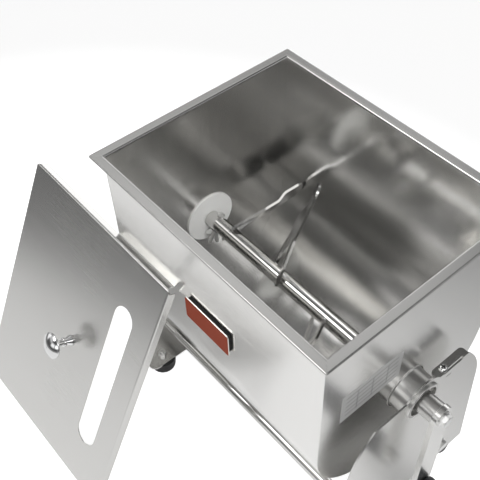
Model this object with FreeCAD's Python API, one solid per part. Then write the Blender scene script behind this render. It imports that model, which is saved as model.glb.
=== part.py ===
import FreeCAD, Part
import math
import os

# Manual meat mixer: a stainless U-trough tank hung between two stand plates, with a hand-cranked
# paddle shaft through its ends and the lid stood against its front wall.
# Millimetres. +Z up, +X along the shaft towards the crank, -Y towards the wall with the name plate.
# The model is worked out with the shaft over the line X = 0, Y = 0 and the floor at Z = 0, and is
# moved by ORIGIN_SHIFT when it is written, so that the origin is the centre of the footprint.

V = FreeCAD.Vector

# Tank
TANK_LENGTH = 320.0          # inside, along the shaft
TROUGH_RADIUS = 124.0        # inside of the round bottom and of the walls up to the crease
WALL_FLARE = 1.0             # how far each long wall leans out between crease and rim
AXIS_TO_RIM = 176.5
CREASE_DROP = 83.0           # rim down to the crease in the long walls
SHEET = 1.5
RIM_WIDTH = 12.0
RIM_HEM = 3.0                # thickness of the folded edge
RIM_HEM_RETURN = 7.0
RIM_BEND = 3.0
RIM_CORNER = 2.0
AXIS_HEIGHT = 239.5          # shaft over the floor

# Hubs on the tank ends, and their bearings
DRUM_RADIUS = 25.0
DRUM_LENGTH = 20.2
JOURNAL_RADIUS = 23.0
JOURNAL_PROUD = 2.6          # journal past the outer face of the stand plate
JOURNAL_LIP = 1.2            # rounding of the journal's outer edge
HUB_RECESS_RADIUS = 19.0
HUB_RECESS_DEPTH = 7.0
SEAM_RADIUS = 26.2           # weld ring between drum and tank end
SEAM_LENGTH = 1.4
BEARING_DISC_RADIUS = 34.0
BEARING_DISC = 2.0
BEARING_SLEEVE_RADIUS = 15.0
RUNNING_CLEARANCE = 0.08     # radial, journals and shafts in their bores
SEAT_CLEARANCE = 0.05        # radial, fixed sleeves and shanks in their holes
SIDE_CLEARANCE = 0.3         # endways, between faces that turn on each other
CUT_PAST = 1.0               # how far a cut runs past the faces it opens
EDGE_TOLERANCE = 0.01        # for picking edges by where they lie

# Stand
STAND_SHEET = 2.0
STAND_FOOT_HALF_WIDTH = 121.0
STAND_SIDE_TOP = 187.0       # height where the straight side runs into the shoulder arc
STAND_SIDE_TOP_HALF_WIDTH = 102.3
SHOULDER_RADIUS = 129.0
SHOULDER_RISE = 16.6         # top edge over the shaft
BOSS_RADIUS = 29.5           # round of the plate over the hub
STAND_FLANGE_WIDTH = 34.0
STAND_FLANGE_CORNER = 10.0
TAB_INNER_END = 21.0
TAB_OUTER_END = 70.0
TAB_WIDTH = 11.0
TAB_CORNER = 5.0
SLIT_START = 31.0
SLIT_LENGTH = 31.0
SLIT_WIDTH = 2.6
GAUGE_SLOT_START = 37.0
GAUGE_SLOT_LENGTH = 7.0
GAUGE_SLOT_WIDTH = 1.6
GAUGE_SLOT_DROP = 12.0

# Tie rods and feet
ROD_RADIUS = 8.0
ROD_OFFSET = 70.0
ROD_HEIGHT = 58.0
ROD_BOLT_RADIUS = 4.0
ROD_BOLT_DEPTH = 22.0
ROD_BOLT_ACROSS_FLATS = 13.0
ROD_BOLT_HEAD = 5.3
WASHER = 1.6
ROD_WASHER_RADIUS = 9.0
FOOT_HEIGHT = 20.0
FOOT_TOP_RADIUS = 19.0
FOOT_BOTTOM_RADIUS = 17.0
FOOT_LIP = 2.0               # rounding of the foot's lower edge
FOOT_INSET = 19.0            # foot centre in from the outer face of the stand plate
FOOT_OFFSET = 96.0
STUD_RADIUS = 3.0
STUD_RISE = 8.5              # foot stud over the stand flange
STUD_DEPTH = 12.0
STUD_NUT = 5.0
STUD_NUT_ACROSS_FLATS = 10.0

# Tab screws and the lock plunger
TAB_SCREW_OFFSET = 35.0
TAB_SCREW_RADIUS = 3.0
TAB_SCREW_LENGTH = 14.0
TAB_HEAD_RADIUS = 5.4
TAB_HEAD = 3.6
PLUNGER_OFFSET = -60.0
PLUNGER_DROP = 45.0          # below the shaft
PLUNGER_PIN_RADIUS = 4.0
PLUNGER_TRAVEL = 8.0
PLUNGER_PARK_GAP = 1.5       # pin tip to keeper when drawn back
PLUNGER_SLEEVE_RADIUS = 8.0
PLUNGER_SLEEVE_OUT = 22.0
PLUNGER_NECK = 6.0           # sleeve past the stand plate on the tank side
PLUNGER_COLLAR_RADIUS = 11.0
PLUNGER_COLLAR = 4.0
PLUNGER_KNOB_RADIUS = 11.0
PLUNGER_KNOB = 16.0
PLUNGER_KNOB_ROUND = 2.5
KEEPER_RADIUS = 10.0
KEEPER_LENGTH = 8.0

# Shaft
TUBE_RADIUS = 10.0
TUBE_WALL = 1.9
TUBE_END_GAP = 1.5           # tube to the bearing discs
STUB_RADIUS = 8.0
STUB_INSERT = 38.0           # stub length inside the tube
CROSS_PIN_INSET = 12.5       # cross bolt and drive pin, in from the ends of the tube
DRIVE_PIN_RADIUS = 2.5
CROSS_BOLT_RADIUS = 2.5
CROSS_BOLT_ANGLE = 240.0     # from +Y towards +Z
CROSS_BOLT_PROUD = 18.0      # bolt tip past the tube
CROSS_HEAD = 3.5
CROSS_HEAD_ACROSS_FLATS = 8.0
CROSS_WASHER_RADIUS = 5.0
CROSS_WASHER = 1.0
WING_HUB_RADIUS = 4.6
WING_HUB_TOP_RADIUS = 3.7
WING_HUB = 6.0
WING_SPAN = 23.0
WING_FOOT = 5.7              # where the wing's lower edge starts, out from the bolt
WING_FOOT_RISE = 0.6
WING_RISE = 5.0              # wing tip over the top of the hub
WING_TIP = 3.5               # height of the wing's outer edge
WING_TIP_ROUND = 1.0
WING_THICKNESS = 2.0
WING_TURN = 24.0

# Paddle blades
BLADE_TIP_RADIUS = 122.0
BLADE_TIP_ROUND = 10.8
BLADE_WIDTH = 27.0
BLADE_SHEET = 3.0
BLADE_END_PITCH = 62.0       # between a blade and the shaft, left and right blades mirrored
BLADE_MIDDLE_PITCH = 43.0
BLADE_FORK_APEX = 53.0
BLADE_FORK_SHOULDER = 20.0
BLADE_LEG_WIDTH = 7.0
BLADE_LEG_END = -4.0
BLADE_JOGGLE_START = 75.0
BLADE_JOGGLE_MIDDLE = 81.0
BLADE_JOGGLE_END = 89.0
BLADE_JOGGLE = 5.0           # set-over of one long edge, none at the other
BLADE_END_INSET = 34.5       # outer blades in from the ends of the tube
BLADE_MIDDLE_SHARE = 0.24    # inner blades' distance from the middle over half the tube
BLADE_LEFT_END_ANGLE = -2.0  # where each blade points, from +Y towards +Z
BLADE_LEFT_MIDDLE_ANGLE = 60.0
BLADE_RIGHT_MIDDLE_ANGLE = 244.0
BLADE_RIGHT_END_ANGLE = 178.0

# Crank
CRANK_BOSS_RADIUS = 12.5
CRANK_BOSS_LENGTH = 26.0
CRANK_BOSS_CHAMFER = 1.0
CRANK_THROW = 150.0
CRANK_ARM_WIDTH = 28.0
CRANK_ARM_SHEET = 6.0
CRANK_WASHER_RADIUS = 9.0
CRANK_BOLT_RADIUS = 4.0
CRANK_BOLT_DEPTH = 18.0
CRANK_BOLT_ACROSS_FLATS = 13.0
CRANK_BOLT_HEAD = 5.3
GRIP_LENGTH = 92.0
GRIP_RADIUS = 14.0
GRIP_END_RADIUS = 12.0
GRIP_BULGE = 2.0
GRIP_ROUND = 4.0
GRIP_BOLT_RADIUS = 4.0
GRIP_HEAD_RADIUS = 6.5
GRIP_HEAD = 5.0
GRIP_HEAD_CLEARANCE = 0.5
GRIP_NUT = 6.5
GRIP_NUT_ACROSS_FLATS = 13.0

# Lid, stood on its short edge and leaned on the front wall
LID_LENGTH = 335.0
LID_WIDTH = 266.0
LID_DEPTH = 11.0
LID_SHEET = 1.2
LID_BEND = 2.5
LID_CORNER = 6.0
LID_NOTCH = 5.5              # open corner between two skirts
LID_NOTCH_DROP = 2.7         # lid face to the top of that opening
LID_LEAN = 63.2              # from the floor
LID_RIGHT_EDGE = -54.0
LID_SLOT_LENGTH = 211.0
LID_SLOT_WIDTH = 33.6
LID_SLOT_OFFSET = 83.0       # from the middle of the lid towards the shaft's crank end
KNOB_OFFSET = 11.0
KNOB_HEIGHT = 34.0
KNOB_BASE_RADIUS = 7.0
KNOB_BASE = 1.5
KNOB_NECK_RADIUS = 3.7
KNOB_BEAD_HEIGHT = 10.2      # lid face to the middle of the bead
KNOB_BEAD_RADIUS = 2.4       # section of the bead round the neck
KNOB_COVE_RADIUS = 9.2
KNOB_RADIUS = 16.5
KNOB_EDGE = 2.7              # height of the rounded edge of the head
KNOB_CROWN = 5.4             # rise of the dome over that edge
KNOB_SCREW_RADIUS = 2.5
KNOB_SCREW_DEPTH = 14.0
KNOB_SCREW_HEAD_RADIUS = 5.0
KNOB_SCREW_HEAD = 2.6

# Screw and bolt heads, as shares of their own size
HEX_CHAMFER_SHARE = 0.95     # flat top circle over the width across flats
CROSS_REACH_SHARE = 0.5      # cross recess over the head radius
CROSS_WIDTH_SHARE = 0.11
CROSS_FLOOR_SHARE = 0.4      # depth left under the recess over the head height

# Plates and label stuck on the tank
NAME_PLATE_LENGTH = 69.0
NAME_PLATE_HEIGHT = 32.5
NAME_PLATE_SHEET = 1.2
NAME_PLATE_DROP = 121.6      # rim to the middle of the plate
NAME_PLATE_CORNER = 2.5
TAPE = 3.0
TAPE_INSET = 2.5
LABEL_LENGTH = 82.0
LABEL_HEIGHT = 44.0
LABEL_SHEET = 0.3
LABEL_DROP = 115.5
LABEL_OFFSET = -58.0

# Worked out from the sizes above
RIM_HEIGHT = AXIS_HEIGHT + AXIS_TO_RIM
CREASE_HEIGHT = RIM_HEIGHT - CREASE_DROP
MOUTH_HALF_WIDTH = TROUGH_RADIUS + WALL_FLARE
HALF_LENGTH = TANK_LENGTH / 2
END_FACE = HALF_LENGTH + SHEET
STAND_INNER = END_FACE + DRUM_LENGTH + SIDE_CLEARANCE
STAND_OUTER = STAND_INNER + STAND_SHEET
JOURNAL_END = STAND_OUTER + JOURNAL_PROUD
RECESS_FLOOR = JOURNAL_END - HUB_RECESS_DEPTH
SHOULDER_HEIGHT = AXIS_HEIGHT + SHOULDER_RISE
TAB_MIDDLE = STAND_OUTER - TAB_WIDTH / 2
TUBE_END = HALF_LENGTH - BEARING_DISC - TUBE_END_GAP
CROSS_PIN_X = TUBE_END - CROSS_PIN_INSET
BLADE_END_X = TUBE_END - BLADE_END_INSET
BLADE_MIDDLE_X = TUBE_END * BLADE_MIDDLE_SHARE
BOSS_START = RECESS_FLOOR + SIDE_CLEARANCE
ARM_START = BOSS_START + CRANK_BOSS_LENGTH
ARM_END = ARM_START + CRANK_ARM_SHEET
GRIP_START = ARM_END + SIDE_CLEARANCE
GRIP_HEIGHT = AXIS_HEIGHT - CRANK_THROW
LEAN = math.radians(LID_LEAN)
LID_FOOT_RISE = LID_DEPTH * math.cos(LEAN)
WALL_FACE = TROUGH_RADIUS + SHEET
LID_FOOT_Y = -(WALL_FACE + SIDE_CLEARANCE + LID_LENGTH * math.cos(LEAN) + LID_DEPTH * math.sin(LEAN))
X_LOW = LID_RIGHT_EDGE - LID_WIDTH
X_HIGH = GRIP_START + GRIP_LENGTH
Y_LOW = LID_FOOT_Y + LID_BEND * (math.cos(LEAN) + math.sin(LEAN) - 1)
Y_HIGH = MOUTH_HALF_WIDTH + RIM_WIDTH
ORIGIN_SHIFT = V(-(X_LOW + X_HIGH) / 2, -(Y_LOW + Y_HIGH) / 2, 0)


def line(a, b):
    return Part.LineSegment(a, b).toShape()


def arc(a, middle, b):
    return Part.Arc(a, middle, b).toShape()


def face_of(edges):
    return Part.Face(Part.Wire(Part.__sortEdges__(edges)))


def outline(points):
    """Flat face whose straight edges join the points in turn."""
    return Part.Face(Part.makePolygon(points + points[:1]))


def turned(edges, axis):
    """Solid of revolution of a closed outline about an axis through the origin."""
    return face_of(edges).revolve(V(0, 0, 0), axis, 360)


def block(x0, x1, y0, y1, z0, z1):
    return Part.makeBox(x1 - x0, y1 - y0, z1 - z0, V(x0, y0, z0))


def rod_x(radius, x0, x1, y=0.0, z=AXIS_HEIGHT):
    return Part.makeCylinder(radius, x1 - x0, V(x0, y, z), V(1, 0, 0))


def rod_z(radius, z0, z1, x=0.0, y=0.0):
    return Part.makeCylinder(radius, z1 - z0, V(x, y, z0), V(0, 0, 1))


def hex_prism(across_flats, height):
    """Hexagon along +Z from the origin, its top corners taken off by a 45 degree cone."""
    corner = across_flats / math.sqrt(3)
    points = [V(corner * math.cos(math.radians(60 * i)), corner * math.sin(math.radians(60 * i)), 0)
              for i in range(6)]
    prism = outline(points).extrude(V(0, 0, height))
    top = across_flats / 2 * HEX_CHAMFER_SHARE
    cone = Part.makeCone(top + height, top, height)
    return prism.common(cone)


def pan_head(radius, height):
    """Low domed screw head along +Z from the origin, with a cross recess."""
    sphere_radius = (radius ** 2 + height ** 2) / (2 * height)
    dome = Part.makeSphere(sphere_radius, V(0, 0, height - sphere_radius))
    head = Part.makeCylinder(radius, height).common(dome)
    reach = radius * CROSS_REACH_SHARE
    width = radius * CROSS_WIDTH_SHARE
    floor = height * CROSS_FLOOR_SHARE
    cross = block(-reach, reach, -width, width, floor, height + CUT_PAST)
    return head.cut(cross.fuse(block(-width, width, -reach, reach, floor, height + CUT_PAST)))


def along_x(shape, x, y, z, direction=1):
    """Shape drawn along +Z from the origin, laid along +X or -X with its foot at the point."""
    placed = shape.copy()
    placed.Placement = FreeCAD.Placement(V(x, y, z), FreeCAD.Rotation(V(0, 1, 0), 90 * direction))
    return placed


def mirrored_x(shape):
    return shape.mirror(V(0, 0, 0), V(1, 0, 0))


def group(shapes):
    """Several separate solids of one node."""
    return Part.makeCompound(shapes)


def trough_edges(offset):
    """Edges of the U from rim bend to rim bend, moved outwards from the inside face by offset."""
    radius = TROUGH_RADIUS + offset
    top = MOUTH_HALF_WIDTH + offset
    bend = RIM_HEIGHT - RIM_BEND
    ends = [V(0, side * top, bend) for side in (-1, 1)]
    creases = [V(0, side * radius, CREASE_HEIGHT) for side in (-1, 1)]
    springs = [V(0, side * radius, AXIS_HEIGHT) for side in (-1, 1)]
    edges = [line(ends[0], creases[0]), line(creases[0], springs[0])]
    edges.append(arc(springs[0], V(0, 0, AXIS_HEIGHT - radius), springs[1]))
    edges += [line(springs[1], creases[1]), line(creases[1], ends[1])]
    return edges, ends


def tank_trough():
    """One sheet: front wall, round bottom and rear wall."""
    inside, inner_ends = trough_edges(0)
    outside, outer_ends = trough_edges(SHEET)
    lips = [line(inner_ends[i], outer_ends[i]) for i in (0, 1)]
    profile = face_of(inside + outside + lips)
    profile.translate(V(-HALF_LENGTH, 0, 0))
    return profile.extrude(V(TANK_LENGTH, 0, 0))


def end_plate(side):
    """Flat tank end over the end of the trough, with the hole for the bearing sleeve."""
    edges, ends = trough_edges(SHEET)
    plate = face_of(edges + [line(ends[0], ends[1])])
    plate.translate(V(HALF_LENGTH, 0, 0))
    plate = plate.extrude(V(SHEET, 0, 0))
    hole = rod_x(BEARING_SLEEVE_RADIUS + SEAT_CLEARANCE, HALF_LENGTH - CUT_PAST, END_FACE + CUT_PAST)
    plate = plate.cut(hole)
    return plate if side > 0 else mirrored_x(plate)


def rim_profile(start):
    """Rim section in the XZ plane: X is the distance out from the inside face, from start on."""
    nose = RIM_HEM / 2
    out = RIM_WIDTH - nose
    hem_in = RIM_WIDTH - RIM_HEM_RETURN
    low = RIM_HEIGHT - RIM_HEM
    under = RIM_HEIGHT - SHEET
    edges = [arc(V(out, 0, RIM_HEIGHT), V(RIM_WIDTH, 0, RIM_HEIGHT - nose), V(out, 0, low))]
    if start > hem_in:
        edges += [line(V(out, 0, low), V(start, 0, low)),
                  line(V(start, 0, low), V(start, 0, RIM_HEIGHT)),
                  line(V(start, 0, RIM_HEIGHT), V(out, 0, RIM_HEIGHT))]
        return face_of(edges)
    edges += [line(V(out, 0, low), V(hem_in, 0, low)),
              line(V(hem_in, 0, low), V(hem_in, 0, under))]
    if start > 0:
        edges += [line(V(hem_in, 0, under), V(start, 0, under)),
                  line(V(start, 0, under), V(start, 0, RIM_HEIGHT)),
                  line(V(start, 0, RIM_HEIGHT), V(out, 0, RIM_HEIGHT))]
        return face_of(edges)
    bend = RIM_HEIGHT - RIM_BEND
    chord = RIM_BEND * (1 - math.sqrt(0.5))
    edges += [line(V(hem_in, 0, under), V(RIM_BEND, 0, under)),
              line(V(RIM_BEND, 0, under), V(SHEET, 0, bend)),
              line(V(SHEET, 0, bend), V(0, 0, bend)),
              arc(V(0, 0, bend), V(chord, 0, RIM_HEIGHT - chord), V(RIM_BEND, 0, RIM_HEIGHT)),
              line(V(RIM_BEND, 0, RIM_HEIGHT), V(out, 0, RIM_HEIGHT))]
    return face_of(edges)


def rim_strip(half_run, half_reach):
    """Rim along Y = -half_reach, mitred at both ends, with the hem carried round the corners."""
    straight = half_run + RIM_WIDTH - RIM_CORNER
    turn = RIM_WIDTH - RIM_CORNER
    profile = rim_profile(0)
    profile.rotate(V(0, 0, 0), V(0, 0, 1), -90)
    profile.translate(V(-straight, -half_reach, 0))
    strip = profile.extrude(V(2 * straight, 0, 0))
    for side in (-1, 1):
        corner = rim_profile(turn)
        corner.translate(V(-turn, 0, 0))
        corner.rotate(V(0, 0, 0), V(0, 0, 1), -90)
        corner = corner.revolve(V(0, 0, 0), V(0, 0, 1), side * 90)
        corner.translate(V(side * straight, -half_reach - turn, 0))
        strip = strip.fuse(corner)
    far = RIM_WIDTH + CUT_PAST
    keep = [V(-half_run - far, -half_reach - far, 0), V(half_run + far, -half_reach - far, 0),
            V(half_run, -half_reach, 0), V(-half_run, -half_reach, 0)]
    wedge = outline(keep).extrude(V(0, 0, RIM_HEIGHT + CUT_PAST))
    return strip.common(wedge).removeSplitter()


def rim(turn):
    """Rim strip of one side: the turn about +Z from the front is 0, 90, 180 or 270 degrees."""
    lengthways = turn % 180 == 0
    half_run = HALF_LENGTH if lengthways else MOUTH_HALF_WIDTH
    half_reach = MOUTH_HALF_WIDTH if lengthways else HALF_LENGTH
    strip = rim_strip(half_run, half_reach)
    strip.rotate(V(0, 0, 0), V(0, 0, 1), turn)
    return strip


def hub(side):
    """Turned hub welded on the tank end: seam ring, drum, and the journal that turns in the stand."""
    drum_end = END_FACE + DRUM_LENGTH
    body = rod_x(DRUM_RADIUS, END_FACE, drum_end)
    body = body.fuse(rod_x(JOURNAL_RADIUS, END_FACE, JOURNAL_END))
    rim_edges = [e for e in body.Edges if e.BoundBox.XMin > JOURNAL_END - EDGE_TOLERANCE]
    body = body.makeFillet(JOURNAL_LIP, rim_edges)
    seam = Part.makeCone(SEAM_RADIUS, DRUM_RADIUS, SEAM_LENGTH, V(END_FACE, 0, AXIS_HEIGHT), V(1, 0, 0))
    body = body.fuse(seam)
    body = body.cut(rod_x(BEARING_SLEEVE_RADIUS + SEAT_CLEARANCE, END_FACE - CUT_PAST,
                          JOURNAL_END + CUT_PAST))
    body = body.cut(rod_x(HUB_RECESS_RADIUS, RECESS_FLOOR, JOURNAL_END + CUT_PAST))
    return body if side > 0 else mirrored_x(body)


def bearing(side):
    """Nylon bearing: a wide disc on the inside of the tank end and a sleeve out to the hub recess."""
    disc = rod_x(BEARING_DISC_RADIUS, HALF_LENGTH - BEARING_DISC, HALF_LENGTH)
    disc = disc.fuse(rod_x(BEARING_SLEEVE_RADIUS, HALF_LENGTH - BEARING_DISC, RECESS_FLOOR))
    disc = disc.cut(rod_x(STUB_RADIUS + RUNNING_CLEARANCE, HALF_LENGTH - BEARING_DISC - CUT_PAST,
                          RECESS_FLOOR + CUT_PAST))
    return disc if side > 0 else mirrored_x(disc)


def shoulder_arc(foot, top):
    """Arc of SHOULDER_RADIUS between two points of the outline, bulging away from the hub."""
    chord = top.sub(foot)
    half = chord.Length / 2
    normal = V(0, chord.z, -chord.y).normalize()
    if normal.y * foot.y < 0:
        normal = normal.negative()
    sag = SHOULDER_RADIUS - math.sqrt(SHOULDER_RADIUS ** 2 - half ** 2)
    middle = foot.add(chord.multiply(0.5)).add(normal.multiply(sag))
    return arc(foot, middle, top)


def stand_outline():
    """Side view of the stand plate, same at the front and the rear."""
    half_boss = math.sqrt(BOSS_RADIUS ** 2 - SHOULDER_RISE ** 2)
    edges = [line(V(0, -STAND_FOOT_HALF_WIDTH, FOOT_HEIGHT), V(0, STAND_FOOT_HALF_WIDTH, FOOT_HEIGHT))]
    for side in (-1, 1):
        foot = V(0, side * STAND_FOOT_HALF_WIDTH, FOOT_HEIGHT)
        side_top = V(0, side * STAND_SIDE_TOP_HALF_WIDTH, STAND_SIDE_TOP)
        shoulder = V(0, side * TAB_OUTER_END, SHOULDER_HEIGHT)
        neck = V(0, side * half_boss, SHOULDER_HEIGHT)
        edges += [line(foot, side_top), shoulder_arc(side_top, shoulder), line(shoulder, neck)]
    edges.append(arc(V(0, -half_boss, SHOULDER_HEIGHT), V(0, 0, AXIS_HEIGHT + BOSS_RADIUS),
                     V(0, half_boss, SHOULDER_HEIGHT)))
    return face_of(edges)


def plate_hole(radius, y, z):
    """Round cutter through the right stand plate."""
    return rod_x(radius, STAND_INNER - CUT_PAST, STAND_OUTER + CUT_PAST, y, z)


def stand_plate(side):
    """Side plate with a foot flange and a tab, both folded towards the tank, the tab's fold slit open."""
    plate = stand_outline()
    plate.translate(V(STAND_INNER, 0, 0))
    plate = plate.extrude(V(STAND_SHEET, 0, 0))
    flange_edge = STAND_OUTER - STAND_FLANGE_WIDTH
    flange = block(flange_edge, STAND_OUTER, -STAND_FOOT_HALF_WIDTH, STAND_FOOT_HALF_WIDTH,
                   FOOT_HEIGHT, FOOT_HEIGHT + STAND_SHEET)
    corners = [e for e in flange.Edges if e.BoundBox.XMax < flange_edge + EDGE_TOLERANCE
               and e.BoundBox.YLength < EDGE_TOLERANCE]
    flange = flange.makeFillet(STAND_FLANGE_CORNER, corners)
    tab_edge = STAND_OUTER - TAB_WIDTH
    tab = block(tab_edge, STAND_OUTER, TAB_INNER_END, TAB_OUTER_END,
                SHOULDER_HEIGHT - STAND_SHEET, SHOULDER_HEIGHT)
    corners = [e for e in tab.Edges if e.BoundBox.XMax < tab_edge + EDGE_TOLERANCE
               and e.BoundBox.YLength < EDGE_TOLERANCE]
    tab = tab.makeFillet(TAB_CORNER, corners)
    plate = plate.fuse([flange, tab])
    slit = block(STAND_OUTER - SLIT_WIDTH, STAND_OUTER + CUT_PAST, SLIT_START, SLIT_START + SLIT_LENGTH,
                 SHOULDER_HEIGHT - SLIT_WIDTH, SHOULDER_HEIGHT + CUT_PAST)
    slot_height = SHOULDER_HEIGHT - GAUGE_SLOT_DROP
    gauge_slot = block(STAND_INNER - CUT_PAST, STAND_OUTER + CUT_PAST, GAUGE_SLOT_START,
                       GAUGE_SLOT_START + GAUGE_SLOT_LENGTH, slot_height - GAUGE_SLOT_WIDTH / 2,
                       slot_height + GAUGE_SLOT_WIDTH / 2)
    tab_hole = rod_z(TAB_SCREW_RADIUS + SEAT_CLEARANCE, SHOULDER_HEIGHT - STAND_SHEET - CUT_PAST,
                      SHOULDER_HEIGHT + CUT_PAST, TAB_MIDDLE, TAB_SCREW_OFFSET)
    holes = [slit, gauge_slot, tab_hole, plate_hole(JOURNAL_RADIUS + RUNNING_CLEARANCE, 0, AXIS_HEIGHT)]
    for end in (-1, 1):
        holes.append(plate_hole(ROD_BOLT_RADIUS + SEAT_CLEARANCE, end * ROD_OFFSET, ROD_HEIGHT))
        holes.append(rod_z(STUD_RADIUS + SEAT_CLEARANCE, FOOT_HEIGHT - CUT_PAST,
                           FOOT_HEIGHT + STAND_SHEET + CUT_PAST, STAND_OUTER - FOOT_INSET,
                           end * FOOT_OFFSET))
    if side < 0:
        holes.append(plate_hole(PLUNGER_SLEEVE_RADIUS + SEAT_CLEARANCE, PLUNGER_OFFSET,
                                AXIS_HEIGHT - PLUNGER_DROP))
    plate = plate.cut(holes).removeSplitter()
    return plate if side > 0 else mirrored_x(plate)


def tie_rod(side):
    """Bright bar between the stand plates, tapped at both ends."""
    y = side * ROD_OFFSET
    bar = rod_x(ROD_RADIUS, -STAND_INNER, STAND_INNER, y, ROD_HEIGHT)
    for end in (-1, 1):
        x0, x1 = sorted((end * (STAND_INNER - ROD_BOLT_DEPTH - CUT_PAST), end * (STAND_INNER + CUT_PAST)))
        bar = bar.cut(rod_x(ROD_BOLT_RADIUS + SEAT_CLEARANCE, x0, x1, y, ROD_HEIGHT))
    return bar


def bolt(radius, depth, across_flats, head, washer_radius):
    """Hexagon bolt and washer drawn along +Z: the shank below the origin, the head above it."""
    shank = Part.makeCylinder(radius, depth + WASHER, V(0, 0, -depth))
    top = hex_prism(across_flats, head)
    top.translate(V(0, 0, WASHER))
    ring = Part.makeCylinder(washer_radius, WASHER)
    return shank.fuse([top, ring]).removeSplitter()


def rod_bolts():
    screw = bolt(ROD_BOLT_RADIUS, ROD_BOLT_DEPTH, ROD_BOLT_ACROSS_FLATS, ROD_BOLT_HEAD, ROD_WASHER_RADIUS)
    return group([along_x(screw, end * STAND_OUTER, side * ROD_OFFSET, ROD_HEIGHT, end)
                  for end in (-1, 1) for side in (-1, 1)])


def foot_places():
    return {
        "front_left": (-1, -1),
        "front_right": (1, -1),
        "rear_left": (-1, 1),
        "rear_right": (1, 1),
    }


def foot(x_side, y_side):
    """Tapered rubber foot with rounded lower edge and a hole for its stud."""
    corner = FOOT_LIP * (1 - math.sqrt(0.5))
    edges = [
        line(V(0, 0, 0), V(FOOT_BOTTOM_RADIUS - FOOT_LIP, 0, 0)),
        arc(V(FOOT_BOTTOM_RADIUS - FOOT_LIP, 0, 0), V(FOOT_BOTTOM_RADIUS - corner, 0, corner),
            V(FOOT_BOTTOM_RADIUS, 0, FOOT_LIP)),
        line(V(FOOT_BOTTOM_RADIUS, 0, FOOT_LIP), V(FOOT_TOP_RADIUS, 0, FOOT_HEIGHT)),
        line(V(FOOT_TOP_RADIUS, 0, FOOT_HEIGHT), V(0, 0, FOOT_HEIGHT)),
        line(V(0, 0, FOOT_HEIGHT), V(0, 0, 0)),
    ]
    pad = turned(edges, V(0, 0, 1))
    pad = pad.cut(rod_z(STUD_RADIUS + SEAT_CLEARANCE, FOOT_HEIGHT - STUD_DEPTH, FOOT_HEIGHT + CUT_PAST))
    pad.translate(V(x_side * (STAND_OUTER - FOOT_INSET), y_side * FOOT_OFFSET, 0))
    return pad


def foot_studs():
    stud = rod_z(STUD_RADIUS, FOOT_HEIGHT - STUD_DEPTH, FOOT_HEIGHT + STAND_SHEET + STUD_RISE)
    nut = hex_prism(STUD_NUT_ACROSS_FLATS, STUD_NUT)
    nut.translate(V(0, 0, FOOT_HEIGHT + STAND_SHEET))
    stud = stud.fuse(nut).removeSplitter()
    studs = []
    for x_side, y_side in foot_places().values():
        copy = stud.copy()
        copy.translate(V(x_side * (STAND_OUTER - FOOT_INSET), y_side * FOOT_OFFSET, 0))
        studs.append(copy)
    return group(studs)


def tab_screw(side):
    """Pan-head screw threaded down through the tab."""
    head = pan_head(TAB_HEAD_RADIUS, TAB_HEAD)
    screw = head.fuse(rod_z(TAB_SCREW_RADIUS, -TAB_SCREW_LENGTH, 0))
    screw.translate(V(side * TAB_MIDDLE, TAB_SCREW_OFFSET, SHOULDER_HEIGHT))
    return screw


def plunger_line(radius, x0, x1):
    """Round bar on the plunger's line at the crankless end, x counted outwards from the middle."""
    return rod_x(radius, -x1, -x0, PLUNGER_OFFSET, AXIS_HEIGHT - PLUNGER_DROP)


def plunger_keeper():
    keeper = plunger_line(KEEPER_RADIUS, END_FACE, END_FACE + KEEPER_LENGTH)
    bore = PLUNGER_PIN_RADIUS + RUNNING_CLEARANCE
    return keeper.cut(plunger_line(bore, END_FACE - CUT_PAST, END_FACE + KEEPER_LENGTH + CUT_PAST))


def plunger_sleeve():
    start = STAND_INNER - PLUNGER_NECK
    end = STAND_OUTER + PLUNGER_SLEEVE_OUT
    sleeve = plunger_line(PLUNGER_SLEEVE_RADIUS, start, end)
    collar = plunger_line(PLUNGER_COLLAR_RADIUS, STAND_OUTER, STAND_OUTER + PLUNGER_COLLAR)
    bore = plunger_line(PLUNGER_PIN_RADIUS + RUNNING_CLEARANCE, start - CUT_PAST, end + CUT_PAST)
    return sleeve.fuse(collar).cut(bore).removeSplitter()


def plunger_knob_start():
    return STAND_OUTER + PLUNGER_SLEEVE_OUT + PLUNGER_TRAVEL + SIDE_CLEARANCE


def plunger_pin():
    tip = END_FACE + KEEPER_LENGTH + PLUNGER_PARK_GAP
    return plunger_line(PLUNGER_PIN_RADIUS, tip, plunger_knob_start() + PLUNGER_KNOB / 2)


def plunger_knob():
    start = plunger_knob_start()
    knob = plunger_line(PLUNGER_KNOB_RADIUS, start, start + PLUNGER_KNOB)
    rims = [e for e in knob.Edges if e.BoundBox.XLength < EDGE_TOLERANCE]
    knob = knob.makeFillet(PLUNGER_KNOB_ROUND, rims)
    return knob.cut(plunger_line(PLUNGER_PIN_RADIUS, start - CUT_PAST, start + PLUNGER_KNOB / 2))


def shaft_tube():
    """Tube between the bearings, pinned to a stub at each end."""
    tube = rod_x(TUBE_RADIUS, -TUBE_END, TUBE_END)
    tube = tube.cut(rod_x(TUBE_RADIUS - TUBE_WALL, -TUBE_END - CUT_PAST, TUBE_END + CUT_PAST))
    tube = tube.cut(cross_hole(-CROSS_PIN_X, CROSS_BOLT_RADIUS))
    return tube.cut(cross_hole(CROSS_PIN_X, DRIVE_PIN_RADIUS))


def cross_direction():
    angle = math.radians(CROSS_BOLT_ANGLE)
    return V(0, math.cos(angle), math.sin(angle))


def cross_bar(x, radius, start, end):
    """Round bar across the shaft on the cross bolt's line, between two distances from the axis."""
    direction = cross_direction()
    foot_point = V(x, 0, AXIS_HEIGHT).add(V(direction).multiply(start))
    return Part.makeCylinder(radius, end - start, foot_point, direction)


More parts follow.
